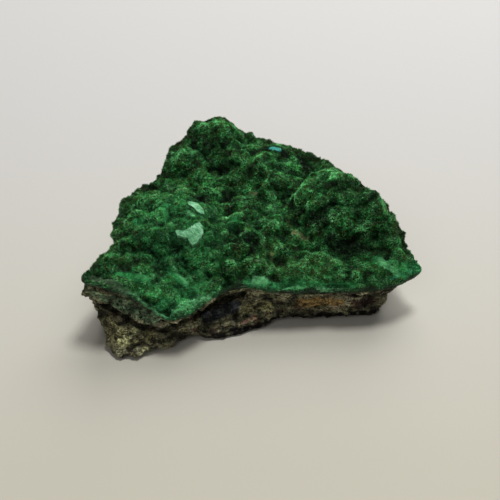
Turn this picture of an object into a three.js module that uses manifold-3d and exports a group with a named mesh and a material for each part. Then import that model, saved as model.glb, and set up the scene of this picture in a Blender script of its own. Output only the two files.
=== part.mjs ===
// A hand specimen of velvet malachite on its matrix, about 105 mm wide, lying flat on a surface.
// The matrix is a slab of dark iron-stained rock with broken walls, a foot at its front left corner
// and a recessed bay in its front wall. The malachite is a crust that grew over the top of the slab
// in rounded mounds and knobs, and it is snapped off thin along the front edge.
// Millimetres, +Z up. +X is right and +Y is back, away from the front wall.
import * as THREE from "three";
import { ImprovedNoise } from "three/addons/math/ImprovedNoise.js";
import { mergeVertices } from "three/addons/utils/BufferGeometryUtils.js";
import Module from "manifold-3d";

// Driving dimensions
const CENTRE = new THREE.Vector2(0, -2); // every contour can be seen whole from here
const SEAM_GAP = 0.3; // clear space between the crust and the matrix
const EDGE_FRONT = 1.7; // thickness of the crust where it is broken off, along the front
const EDGE_BACK = 4; // thickness of the crust where it grew over the back edge
const EDGE_SHARE = 0.86; // how far out the crust starts to thin or thicken towards its edge
const CRUST_MIDDLE = 2.6; // thickness of the crust between its mounds
const BED_CENTRE = 16.5; // height of the rock surface under the middle of the crust
const EDGE_CHANGE = [-20, 15]; // the edge thickens between these two places along Y
const SHOULDER_INSET = 0.8; // how far the crust overhangs the rock below it
const SHOULDER_DROP = 1; // height of the crust's edge above the widest line just below it
const SOLE_INSET = 7; // how far the rock is undercut between the ledge and the ground
const SOLE_CLEARANCE = 2.5; // height of the hollow underside above the ground
const PAD_DEPTH = 1; // the pads would reach this far into the ground if they weren't flat
const PAD_SLOPE = 0.7; // share of a pad's bump over which the underside comes down to it
const WALL_ROUGHNESS = 1.1; // largest dent or bulge of the broken walls
const CRUST_ROUGHNESS = 0.5; // largest unevenness of the crust between its knobs
const RAGGEDNESS = 0.5; // how far the crust's outline wanders

// Widths of the dents and bulges, and how the unevenness is layered
const WALL_DENT = 5;
const SOLE_DENT = 9;
const CRUST_DENT = 6;
const RAGGED_LENGTH = 3;
const FINE_RATIO = 2.3; // the finer unevenness is this many times smaller
const FINE_SHARE = 0.5;
const FINE_OFFSET = 7; // keeps the finer unevenness from lining up with the coarser
const SOLE_LAYER = 20; // the sole and the outline are read from layers of their own
const RIM_LAYER = 40;

// How finely the bodies are faceted
const CRUST_GRID = 1.8;
const SEAM_GRID = 4.5;
const WALL_SPOKES = 100;
const WALL_STEPS = 2; // rings from one wall contour to the next
const CURVE_STEPS = 8; // points from one contour place to the next
const WELD = 0.001;

// The block of space that holds the specimen
const FIELD = new THREE.Vector2(112, 94);
const FIELD_CENTRE = new THREE.Vector2(1, 3.5);
const DEEP = -10;
const SKY = 60;

// Lower edge of the crust, from the right-hand tip round the back to the left: [x, y, z]
const RIM = [
  [53.5, -17, 13.5],
  [50.5, -12, 14.5],
  [49, -7, 15.5],
  [46.5, -1.5, 17.5],
  [43, 5, 18.5],
  [38.5, 9.5, 19.5],
  [33, 17, 19],
  [28, 23, 18.5],
  [22.5, 28.5, 17.5],
  [15.5, 32, 17.5],
  [8.5, 36.5, 17],
  [1, 41, 16.5],
  [-4.5, 43, 17.5],
  [-7.5, 47, 18.5],
  [-13, 47.5, 18.5],
  [-18, 45.5, 18.5],
  [-21, 41, 18],
  [-22, 37, 17],
  [-26, 33.5, 17],
  [-28.5, 29.5, 16.5],
  [-29, 25, 15.5],
  [-32, 19.5, 16],
  [-36, 15, 16.5],
  [-39.5, 10, 17],
  [-42, 3.5, 17],
  [-43.5, -4, 17.5],
  [-42.5, -10.5, 18],
  [-44, -15.5, 18.5],
  [-47, -20, 19.5],
  [-49.5, -24.5, 20.5],
  [-51, -28, 20.5],
  [-43, -30.5, 19],
  [-36, -31.5, 16],
  [-30, -33.5, 13],
  [-26, -36, 11.5],
  [-22, -36, 11.5],
  [-17, -33.5, 12],
  [-11.5, -29, 13],
  [-5, -25.5, 14],
  [1, -25, 14],
  [8, -25.5, 12.5],
  [15, -25.5, 12],
  [24, -25, 12],
  [34, -25, 12],
  [43, -23.5, 12],
  [49.5, -20.5, 12.5],
];

// Recess of the matrix wall below the crust: the crack at the left, the bay in front, and the
// hollow under the tip
const WAIST = [
  [47, -17, 10],
  [44, -6, 12],
  [39, 6, 12],
  [31, 15, 12],
  [22, 24, 12],
  [11, 31.5, 12],
  [-1, 37, 12],
  [-12, 42, 13],
  [-19, 37, 12],
  [-25, 27, 12],
  [-32, 14.5, 12],
  [-39, 3, 13],
  [-42, -9, 13],
  [-46, -20, 14],
  [-51.5, -28, 15.5],
  [-45, -29, 14.5],
  [-38, -31, 12],
  [-30, -33, 10],
  [-23, -31.5, 9],
  [-16, -27.5, 9.5],
  [-9, -24, 10],
  [-1, -22.5, 10.5],
  [8, -23.5, 9.5],
  [20, -24, 9.5],
  [33, -23.5, 9],
  [41, -21, 9],
];

// Widest line of the lower rock: the foot, the lip below the bay, and the right-hand block
const LEDGE = [
  [43, -16, 7],
  [42, -8, 8],
  [40, 3, 8],
  [33.5, 13, 7.5],
  [24, 22, 7],
  [13, 30, 7],
  [1, 35.5, 7],
  [-7, 40.5, 8],
  [-14, 42.5, 8],
  [-20, 37.5, 7],
  [-26, 27, 7],
  [-33, 16, 7],
  [-40, 5.5, 8],
  [-44, -4, 9],
  [-44.5, -12, 9],
  [-46.5, -20, 10],
  [-49.5, -25.5, 9.5],
  [-47.5, -29.5, 7.5],
  [-45.4, -33.5, 5],
  [-44, -37.5, 4.5],
  [-41.3, -42, 4],
  [-38, -41.7, 4],
  [-35, -41, 4.5],
  [-31, -40, 5],
  [-27.5, -38.8, 5],
  [-24.5, -37.6, 5],
  [-21.5, -35.5, 5.5],
  [-17.5, -34, 5],
  [-13.3, -34.3, 4],
  [-9.6, -34, 3],
  [-6, -33, 2.5],
  [-3, -31.8, 3],
  [3, -29.5, 3],
  [6.2, -27.7, 4],
  [9.4, -27, 5],
  [13, -26.1, 5],
  [19, -26.1, 5],
  [25, -25.2, 4],
  [31.3, -24.6, 3.5],
  [37, -23.9, 3],
  [41.2, -21.5, 4],
];

// Broad swells of the crust, added together: [x, y, radius, height]
const MOUNDS = [
  [-23, -5, 20, 5.5], // dome at the left
  [-12, 38, 15, 3], // peak at the back
  [-23, 25, 11, 3], // shoulder between the dome and the peak
  [6, 24, 17, 4], // back ridge
  [27, 4, 19, 8], // right-hand ridge, steep towards the front terrace
  [42, -1, 10, 4.5], // its outer end
  [2, -4, 12, 3.5], // middle of the slab
  [-3, -15, 11, 3.5], // lobe in front of the middle
];

// Places where the crust dips, added to the swells: [x, y, radius, depth]
const HOLLOWS = [
  [-3, -8, 4, -2.5], // pit under the middle knob
  [17, 21, 6, -2], // dark hollow in the back ridge
  [0, 13, 5, -2],
  [-13, 19, 7, -1.5], // groove from the notch in the left edge
  [-23, 20, 7, -1.5],
  [18, -8, 6, -2], // foot of the right-hand ridge
  [28, -11, 6, -1.5],
  [-8, 1, 5, -2], // between the dome and the middle
  [-12, -12, 4, -1.5],
];

// Rounded knobs standing on the mounds, with creases where they meet: [x, y, radius, height]
const KNOBS = [
  [-16, 1, 9, 2],
  [-27, 2, 8, 1.8],
  [-34, -3, 8, 2],
  [-20, -11, 8, 2],
  [-30, -12, 8, 2],
  [-39, -12, 6, 1.6],
  [-36, 8, 7, 1.8],
  [-25, 13, 7, 1.4],
  [-13, 12, 7, 1.2],
  [-18, 39, 7, 2],
  [-9, 42, 7, 2],
  [-13, 31, 8, 1.6],
  [-24, 28, 7, 2],
  [-3, 28, 8, 1.8],
  [4, 21, 7, 2.2],
  [9, 31, 7, 1.8],
  [7, 13, 7, 2.2],
  [17, 23, 7, 2.2],
  [24, 16, 7, 2],
  [31, 9, 8, 2],
  [18, 6, 7, 2.2],
  [21, -2, 7, 2.6],
  [31, -3, 8, 2.4],
  [39, 1, 7, 2.2],
  [44, -6, 6, 2.2],
  [-4, -3, 6, 2.6],
  [6, -4, 7, 2],
  [-9, -7, 5, 1.8],
  [0, -14, 7, 2.6],
  [-9, -16, 7, 2],
  [45, -15, 6, 1.2],
  [-20, -27, 7, 1],
  [-32, -24, 7, 1],
];

// Where the rock stands on the surface: [x, y, radius]
const PADS = [
  [-34, -26, 11],
  [-8, -22, 8],
  [35, -10, 10],
  [24, 9, 9],
  [-11, 28, 12],
  [-33, 3, 10],
];

const noise = new ImprovedNoise();

// Unevenness of about -1 to 1, with features about `size` across.
function roughness(x, y, z, size) {
  const coarse = noise.noise(x / size, y / size, z / size);
  const fineSize = size / FINE_RATIO;
  const fine = noise.noise(x / fineSize, y / fineSize, z / fineSize + FINE_OFFSET);
  return coarse + FINE_SHARE * fine;
}

function directionOf(x, y) {
  return Math.atan2(y - CENTRE.y, x - CENTRE.x);
}

function distanceOf(x, y) {
  return Math.hypot(x - CENTRE.x, y - CENTRE.y);
}

function pointAt(direction, distance, z) {
  const x = CENTRE.x + distance * Math.cos(direction);
  const y = CENTRE.y + distance * Math.sin(direction);
  return new THREE.Vector3(x, y, z);
}

// A closed smooth curve through [x, y, z] points, as a list of points.
function smoothLoop(points) {
  const corners = points.map(([x, y, z]) => new THREE.Vector3(x, y, z));
  const curve = new THREE.CatmullRomCurve3(corners, true, "centripetal");
  return curve.getPoints(CURVE_STEPS * points.length).slice(0, -1);
}

// Reads a loop by direction from the centre: returns the distance and height it has there.
function readAround(loop) {
  const samples = loop
    .map(({ x, y, z }) => ({ turn: directionOf(x, y), distance: distanceOf(x, y), z }))
    .sort((a, b) => a.turn - b.turn);
  const first = { ...samples[0], turn: samples[0].turn + 2 * Math.PI };
  const last = { ...samples.at(-1), turn: samples.at(-1).turn - 2 * Math.PI };
  const around = [last, ...samples, first];
  return (direction) => {
    const next = around.findIndex((sample) => sample.turn > direction);
    const [a, b] = [around[next - 1], around[next]];
    const share = (direction - a.turn) / (b.turn - a.turn);
    return {
      distance: THREE.MathUtils.lerp(a.distance, b.distance, share),
      z: THREE.MathUtils.lerp(a.z, b.z, share),
    };
  };
}

const rimLoop = smoothLoop(RIM);
const rimTowards = readAround(rimLoop);

// How far out a place is: 0 at the centre and 1 at the rim.
function shareOut(x, y) {
  return Math.min(distanceOf(x, y) / rimTowards(directionOf(x, y)).distance, 1);
}

// Height of the rock surface that the crust grew on.
function bed(x, y) {
  return THREE.MathUtils.lerp(BED_CENTRE, rimTowards(directionOf(x, y)).z, shareOut(x, y) ** 2);
}

// A rounded bump of radius 1 and height 1.
function bump(distance) {
  return distance < 1 ? (1 - distance ** 2) ** 1.5 : 0;
}

// How far the mounds and knobs raise the crust.
function relief(x, y) {
  const heights = (bumps) =>
    bumps.map(([bx, by, radius, height]) =>
      height * bump(Math.hypot(x - bx, y - by) / radius));
  const swell = heights([...MOUNDS, ...HOLLOWS]).reduce((sum, h) => sum + h, 0);
  return swell + Math.max(0, ...heights(KNOBS));
}

function crustThickness(x, y) {
  const middle = CRUST_MIDDLE + relief(x, y) + CRUST_ROUGHNESS * roughness(x, y, 0, CRUST_DENT);
  const atBack = THREE.MathUtils.smoothstep(y, ...EDGE_CHANGE);
  const edge = THREE.MathUtils.lerp(EDGE_FRONT, EDGE_BACK, atBack);
  const toEdge = THREE.MathUtils.smoothstep(shareOut(x, y), EDGE_SHARE, 1);
  return Math.max(THREE.MathUtils.lerp(middle, edge, toEdge), EDGE_FRONT);
}

function crustTop(x, y) {
  return bed(x, y) + crustThickness(x, y);
}

// Height of the underside: hollow and uneven, and flat on the ground at each pad.
function underside(x, y) {
  const pads = PADS.map(([px, py, radius]) => bump(Math.hypot(x - px, y - py) / radius));
  const onPad = THREE.MathUtils.smoothstep(Math.max(...pads), 0, PAD_SLOPE);
  const hollow = SOLE_CLEARANCE + WALL_ROUGHNESS * roughness(x, y, SOLE_LAYER, SOLE_DENT);
  return Math.max(0, THREE.MathUtils.lerp(hollow, -PAD_DEPTH, onPad));
}

const wasm = await Module();
wasm.setup();

function toSolid(geometry) {
  const bare = new THREE.BufferGeometry();
  const flat = geometry.index ? geometry.toNonIndexed() : geometry;
  bare.setAttribute("position", flat.getAttribute("position"));
  const merged = mergeVertices(bare, WELD);
  const mesh = new wasm.Mesh({
    numProp: 3,
    vertProperties: merged.attributes.position.array,
    triVerts: new Uint32Array(merged.index.array),
  });
  return new wasm.Manifold(mesh);
}

function toGeometry(solid) {
  const mesh = solid.getMesh();
  const geometry = new THREE.BufferGeometry();
  geometry.setAttribute("position", new THREE.BufferAttribute(mesh.vertProperties, 3));
  geometry.setIndex(new THREE.BufferAttribute(mesh.triVerts, 1));
  geometry.computeVertexNormals();
  return geometry;
}

// Everything in the field between two surfaces, faceted on a square grid.
function layer(bottom, top, grid) {
  const across = Math.round(FIELD.x / grid);
  const along = Math.round(FIELD.y / grid);
  const block = new THREE.BoxGeometry(FIELD.x, FIELD.y, 2, across, along, 1);
  block.translate(FIELD_CENTRE.x, FIELD_CENTRE.y, 0);
  const places = block.attributes.position;
  for (let i = 0; i < places.count; i++) {
    const surface = places.getZ(i) > 0 ? top : bottom;
    places.setZ(i, surface(places.getX(i), places.getY(i)));
  }
  return toSolid(block);
}

function above(surface) {
  return layer(surface, () => SKY, SEAM_GRID);
}

function crustSolid() {
  const outline = rimLoop.map(({ x, y }) => {
    const wander = RAGGEDNESS * roughness(x, y, RIM_LAYER, RAGGED_LENGTH);
    const { x: outX, y: outY } = pointAt(directionOf(x, y), distanceOf(x, y) + wander, 0);
    return new THREE.Vector2(outX, outY);
  });
  const column = new THREE.ExtrudeGeometry(new THREE.Shape(outline), {
    depth: SKY,
    bevelEnabled: false,
  });
  const belowTop = layer(() => DEEP, crustTop, CRUST_GRID);
  return toSolid(column).intersect(above(bed)).intersect(belowTop);
}

// A point of the broken wall, pushed in or out by its roughness.
function roughened({ x, y, z }) {
  const push = WALL_ROUGHNESS * roughness(x, y, z, WALL_DENT);
  return pointAt(directionOf(x, y), distanceOf(x, y) + push, z + push / 2);
}

// The rings from one wall contour up to the next, without the upper one.
function ringsBetween(lower, upper) {
  return Array.from({ length: WALL_STEPS }, (_, step) =>
    lower.map((p, i) => p.clone().lerp(upper[i], step / WALL_STEPS)));
}

// A closed body from rings that lie one above the other, with a flat cap at each end.
function bodyFromRings(rings) {
  const count = rings[0].length;
  const middle = (ring) => pointAt(0, 0, ring[0].z);
  const corners = [middle(rings[0]), ...rings.flat(), middle(rings.at(-1))];
  const topMiddle = corners.length - 1;
  const at = (ring, i) => 1 + ring * count + (i % count);
  const index = [];
  for (let i = 0; i < count; i++) {
    index.push(0, at(0, i + 1), at(0, i));
    for (let ring = 0; ring + 1 < rings.length; ring++) {
      index.push(at(ring, i), at(ring, i + 1), at(ring + 1, i + 1));
      index.push(at(ring, i), at(ring + 1, i + 1), at(ring + 1, i));
    }
    index.push(at(rings.length - 1, i), at(rings.length - 1, i + 1), topMiddle);
  }
  const geometry = new THREE.BufferGeometry().setFromPoints(corners);
  geometry.setIndex(index);
  return toSolid(geometry);
}

function matrixSolid() {
  const directions = Array.from(
    { length: WALL_SPOKES },
    (_, i) => -Math.PI + ((i + 0.5) * 2 * Math.PI) / WALL_SPOKES,
  );
  const ringOf = (contour, inset = 0, drop = 0) => {
    const towards = readAround(contour);
    return directions.map((direction) => {
      const { distance, z } = towards(direction);
      return pointAt(direction, distance - inset, z - drop);
    });
  };
  const atHeight = (ring, z) => ring.map((p) => new THREE.Vector3(p.x, p.y, z));
  const ledge = ringOf(smoothLoop(LEDGE));
  const waist = ringOf(smoothLoop(WAIST));
  const shoulder = ringOf(rimLoop, SHOULDER_INSET, SHOULDER_DROP);
  const sole = atHeight(ringOf(smoothLoop(LEDGE), SOLE_INSET), 0);
  const wall = [
    ...ringsBetween(sole, ledge),
    ...ringsBetween(ledge, waist),
    ...ringsBetween(waist, shoulder),
    shoulder,
  ].map((ring) => ring.map(roughened));
  const foot = atHeight(wall[0], DEEP);
  const brim = atHeight(wall.at(-1), SKY);
  const seam = (x, y) => bed(x, y) - SEAM_GAP;
  return bodyFromRings([foot, ...wall, brim]).intersect(above(underside)).subtract(above(seam));
}

function namedMesh(name, solid, color, roughnessOfFinish) {
  const material = new THREE.MeshStandardMaterial({
    color,
    roughness: roughnessOfFinish,
    metalness: 0,
    flatShading: true,
  });
  const mesh = new THREE.Mesh(toGeometry(solid), material);
  mesh.name = name;
  return mesh;
}

const specimen = new THREE.Group();
specimen.add(namedMesh("matrix_rock", matrixSolid(), 0x3a3428, 0.95));
specimen.add(namedMesh("malachite_crust", crustSolid(), 0x1c5a34, 0.85));

// The origin is on the ground, under the middle of the specimen.
const middle = new THREE.Box3().setFromObject(specimen).getCenter(new THREE.Vector3());
specimen.position.set(-middle.x, -middle.y, 0);

export default specimen;
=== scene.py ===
"""Velvet malachite on its matrix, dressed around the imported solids.

The rock and the crust are remeshed from their solids and given relief, the crust is covered with
tufts of needles, and two patches where the velvet has broken away are made as pieces of their own.
Sizes are in millimetres until they reach a mesh, and MM turns them into metres.
"""

import logging
import math
from collections.abc import Callable, Sequence
from dataclasses import dataclass, field
from enum import Enum

import bpy
import numpy as np
from bpy.types import ColorRamp, Material, Mesh, NodeSocket, NodeTree, Object, bpy_prop_collection
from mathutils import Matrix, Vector
from mathutils.bvhtree import BVHTree
from mathutils.geometry import delaunay_2d_cdt


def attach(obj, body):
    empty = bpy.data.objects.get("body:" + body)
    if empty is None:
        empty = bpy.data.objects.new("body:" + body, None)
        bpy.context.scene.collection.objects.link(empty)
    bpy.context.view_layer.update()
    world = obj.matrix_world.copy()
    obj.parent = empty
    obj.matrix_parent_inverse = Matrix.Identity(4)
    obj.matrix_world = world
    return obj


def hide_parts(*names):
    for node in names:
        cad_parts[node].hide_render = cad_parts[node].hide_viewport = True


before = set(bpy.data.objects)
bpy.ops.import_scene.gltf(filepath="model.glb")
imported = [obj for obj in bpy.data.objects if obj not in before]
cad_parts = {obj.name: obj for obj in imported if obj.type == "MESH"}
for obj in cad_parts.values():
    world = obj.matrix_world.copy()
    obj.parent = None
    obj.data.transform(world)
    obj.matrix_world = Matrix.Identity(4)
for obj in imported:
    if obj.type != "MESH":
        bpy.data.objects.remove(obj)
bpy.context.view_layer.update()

MM = 0.001
WELD = 0.001  # corners nearer than this are one corner, in millimetres
LOG = logging.getLogger("malachite")
GOLDEN_ANGLE = math.pi * (3 - math.sqrt(5))

Place = tuple[float, ...]
Colour = tuple[float, float, float]
Ground = Callable[[float, float], float]


class Slot(Enum):
    """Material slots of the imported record."""

    MATRIX = "matrix"
    MALACHITE = "malachite"


class Mark(Enum):
    """Named attributes that meshes carry for the node trees."""

    CALM = "calm"
    PILE = "pile"
    SECTOR = "sector"
    EDGE = "edge"
    STAIN = "stain"
    RELIEF = "relief"
    # painted shade: a darker olive band along the grown edge
    RIM_SHADE = "rim"
    TIP = "tip"
    NEEDLE = "needle"
    TUFT = "tuft"


class Pigment(Enum):
    """Colours of local stains and of painted shade, as sRGB values out of 255."""

    MINT = (140, 224, 160)
    JADE = (72, 178, 106)
    TEAL = (44, 140, 104)
    MOSS = (92, 112, 50)
    # painted shade in the crust's hollows
    PAINTED_GREEN_SHADE = (8, 26, 12)
    TURQUOISE = (54, 160, 146)
    TAN = (158, 164, 118)
    OCHRE = (142, 118, 74)
    KHAKI = (152, 150, 108)
    OLIVE = (182, 186, 136)
    SAGE = (104, 128, 100)
    SLATE = (62, 68, 72)
    # painted shade and painted shadow on the rock
    PAINTED_SHADE = (16, 13, 10)
    RUST = (76, 54, 46)
    ROSE = (168, 138, 118)

    @property
    def linear(self) -> Colour:
        """The colour as linear values."""
        return linear(self.value)

    def stains(self, *rows: tuple) -> tuple["Stain", ...]:
        """Stains of this colour, from rows of a width, a strength and the places of a path."""
        return tuple(Stain(self, width, strength, tuple(path)) for width, strength, *path in rows)


def linear(srgb: Sequence[float]) -> Colour:
    """Turns an sRGB colour out of 255 into linear values from 0 to 1."""
    shares = (channel / 255 for channel in srgb)
    return tuple(s / 12.92 if s <= 0.04045 else ((s + 0.055) / 1.055) ** 2.4 for s in shares)


def smoothstep(low: float, high: float, value: np.ndarray) -> np.ndarray:
    """Rises smoothly from 0 at low to 1 at high, which may be the lower of the two."""
    share = np.clip((value - low) / (high - low), 0.0, 1.0)
    return share * share * (3.0 - 2.0 * share)


# --- Node trees written as expressions ---


class Wire:
    """A socket of a node tree that takes part in arithmetic."""

    def __init__(self, tree: "Tree", socket: NodeSocket) -> None:
        """Wraps a socket of the given tree."""
        self.tree = tree
        self.socket = socket

    def math(self, operation: str, *others: "Wire | float") -> "Wire":
        """Feeds this value and others to a Math node."""
        inputs = dict(enumerate((self, *others)))
        return self.tree.node("ShaderNodeMath", {"operation": operation}, inputs)

    def from_number(self, operation: str, number: float) -> "Wire":
        """Feeds a number first and this value second to a Math node."""
        return self.tree.node("ShaderNodeMath", {"operation": operation}, {0: number, 1: self})

    def __add__(self, other: "Wire | float") -> "Wire":
        """Adds."""
        return self.math("ADD", other)

    def __radd__(self, other: float) -> "Wire":
        """Adds to a number."""
        return self.math("ADD", other)

    def __sub__(self, other: "Wire | float") -> "Wire":
        """Subtracts."""
        return self.math("SUBTRACT", other)

    def __rsub__(self, other: float) -> "Wire":
        """Subtracts from a number."""
        return self.from_number("SUBTRACT", other)

    def __mul__(self, other: "Wire | float") -> "Wire":
        """Multiplies."""
        return self.math("MULTIPLY", other)

    def __rmul__(self, other: float) -> "Wire":
        """Multiplies a number."""
        return self.math("MULTIPLY", other)

    def __pow__(self, other: "Wire | float") -> "Wire":
        """Raises to a power."""
        return self.math("POWER", other)

    def contrast(self, gain: float) -> "Wire":
        """Spreads values out from one half, kept between 0 and 1."""
        settings = {"operation": "MULTIPLY_ADD", "use_clamp": True}
        return self.tree.node("ShaderNodeMath", settings, {0: self, 1: gain, 2: 0.5 - 0.5 * gain})

    def step(self, low: float, high: float) -> "Wire":
        """Rises smoothly from 0 at low to 1 at high."""
        inputs = {"Value": self, "From Min": low, "From Max": high}
        return self.tree.node("ShaderNodeMapRange", {"interpolation_type": "SMOOTHSTEP"}, inputs)


class Tree:
    """Builds a node tree: a material's, or one for a Geometry Nodes modifier."""

    def __init__(self, nodes: NodeTree) -> None:
        """Wraps an empty node tree."""
        self.nodes = nodes

    def node(
        self,
        kind: str,
        settings: dict[str, object] | None = None,
        inputs: dict[str | int, object] | None = None,
        output: str | int = 0,
    ) -> Wire:
        """Adds a node.

        Args:
            kind: The node's type.
            settings: Its properties, such as a Math node's operation, or a ramp's stops.
            inputs: Values or wires for its sockets, by name or by number.
            output: The socket to return, by name or by its number among those in use.

        Returns:
            The wrapped output socket.
        """
        node = self.nodes.nodes.new(kind)
        for name, value in (settings or {}).items():
            if name == "stops":
                self._set_stops(node.color_ramp, value)
            else:
                setattr(node, name, value)
        for key, value in (inputs or {}).items():
            socket = self._find(node.inputs, key)
            if isinstance(value, Wire):
                self.nodes.links.new(value.socket, socket)
            else:
                socket.default_value = value
        if not node.outputs:
            return Wire(self, None)
        return Wire(self, self._find(node.outputs, output))

    @staticmethod
    def _find(sockets: Sequence[NodeSocket], key: str | int) -> NodeSocket:
        """Finds a socket in use.

        Args:
            sockets: A node's inputs or outputs.
            key: Its name, or its number among those in use.

        Returns:
            The socket.
        """
        usable = [socket for socket in sockets if socket.enabled]
        if isinstance(key, int):
            return usable[key]
        return next(socket for socket in usable if socket.name == key)

    @staticmethod
    def _set_stops(ramp: ColorRamp, stops: Sequence[tuple[float, Colour]]) -> None:
        """Gives a colour ramp its stops.

        Args:
            ramp: The ramp.
            stops: Positions and their linear colours.
        """
        while len(ramp.elements) > 1:
            ramp.elements.remove(ramp.elements[-1])
        for index, (position, colour) in enumerate(stops):
            element = ramp.elements[0] if index == 0 else ramp.elements.new(position)
            element.position = position
            element.color = (*colour, 1.0)

    def vector(self, operation: str, *sides: Wire | Place | float) -> Wire:
        """Feeds vectors, or a vector and a factor, to a Vector Math node."""
        return self.node("ShaderNodeVectorMath", {"operation": operation}, dict(enumerate(sides)))

    def scaled(self, vector: Wire, factor: Wire | float) -> Wire:
        """Multiplies a vector or a colour by a factor."""
        return self.vector("SCALE", vector, factor)

    def noise(
        self,
        places: Wire,
        size: float,
        detail: float = 2.0,
        roughness: float = 0.5,
        stretch: Place = (1.0, 1.0, 1.0),
        distortion: float = 0.0,
    ) -> Wire:
        """Adds soft noise.

        Args:
            places: Positions in millimetres.
            size: Width of its features in millimetres.
            detail: Number of finer layers.
            roughness: Strength of the finer layers.
            stretch: How many times longer the features are along each axis.
            distortion: How far the pattern is warped.

        Returns:
            Noise from 0 to 1.
        """
        factors = tuple(1.0 / (size * s) for s in stretch)
        inputs = {
            "Vector": self.vector("MULTIPLY", places, factors),
            "Scale": 1.0,
            "Detail": detail,
            "Roughness": roughness,
            "Distortion": distortion,
        }
        return self.node("ShaderNodeTexNoise", None, inputs)

    def cells(self, places: Wire, size: float, **settings: str) -> Wire:
        """Distance from the middle of the nearest cell, in cell widths of so many millimetres."""
        inputs = {"Vector": self.scaled(places, 1.0 / size), "Scale": 1.0}
        return self.node("ShaderNodeTexVoronoi", settings, inputs, output="Distance")


class FinishTree(Tree):
    """The node tree of a material that ends in one Principled shader."""

    def __init__(self, name: str) -> None:
        """Starts an empty material.

        Args:
            name: The material's name.
        """
        self.material = bpy.data.materials.new(name)
        self.material.use_nodes = True
        super().__init__(self.material.node_tree)
        self.nodes.nodes.clear()
        coordinates = self.node("ShaderNodeTexCoord", output="Object")
        self.places = self.scaled(coordinates, 1.0 / MM)

    def attribute(self, mark: Mark, output: str = "Fac") -> Wire:
        """Reads a named attribute of the mesh."""
        return self.node("ShaderNodeAttribute", {"attribute_name": mark.value}, None, output)

    def blotches(self, size: float, gain: float, **shape: float | Place) -> Wire:
        """Noise so many millimetres wide all over the piece, with its contrast raised."""
        return self.noise(self.places, size, **shape).contrast(gain)

    def ramp(self, value: Wire, *stops: tuple[float, Sequence[float]]) -> Wire:
        """Turns a value from 0 to 1 into a colour, by stops of a position and an sRGB colour."""
        colours = [(position, linear(colour)) for position, colour in stops]
        return self.node("ShaderNodeValToRGB", {"stops": colours}, {"Fac": value}, "Color")

    def mix(self, share: Wire, a: Wire | Sequence[float], b: Wire | Sequence[float]) -> Wire:
        """Mixes two colours.

        Args:
            share: Share of the second colour.
            a: First colour, as a wire or as sRGB values.
            b: Second colour.

        Returns:
            The mixed colour.
        """
        sides = {
            key: side if isinstance(side, Wire) else (*linear(side), 1.0)
            for key, side in (("A", a), ("B", b))
        }
        settings = {"data_type": "RGBA", "clamp_factor": True}
        return self.node("ShaderNodeMix", settings, {"Factor": share, **sides}, "Result")

    def stained(self, colour: Wire, ragged: float = 0.9, size: float = 1.1) -> Wire:
        """Lays the mesh's stains over a colour.

        Args:
            colour: The colour under the stains.
            ragged: How far the stains break up at their edges.
            size: Width of the breaks in millimetres.

        Returns:
            The stained colour.
        """
        strength = self.attribute(Mark.STAIN, "Alpha")
        grain = self.blotches(size, 2.5, detail=3.0, roughness=0.6)
        broken = strength + (grain - 0.5) * ragged * strength.step(0.0, 0.4)
        return self.mix(broken.step(0.05, 0.95), colour, self.attribute(Mark.STAIN, "Color"))

    def bump(self, height: Wire, depth: float) -> Wire:
        """Turns a height from 0 to 1 into a bumped normal, its depth in millimetres."""
        inputs = {"Height": height, "Distance": depth * MM, "Strength": 1.0}
        return self.node("ShaderNodeBump", None, inputs)

    def finish(self, colour: Wire, roughness: float, specular: float, **more: Wire) -> Material:
        """Ends the tree in a Principled shader.

        Args:
            colour: Its base colour.
            roughness: Its roughness.
            specular: Its specular level.
            more: Wires for further sockets, by name.

        Returns:
            The finished material.
        """
        sockets = {"Base Color": colour, "Roughness": roughness, "Specular IOR Level": specular}
        shader = self.node("ShaderNodeBsdfPrincipled", None, {**sockets, **more})
        self.node("ShaderNodeOutputMaterial", None, {"Surface": shader})
        return self.material


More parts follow.
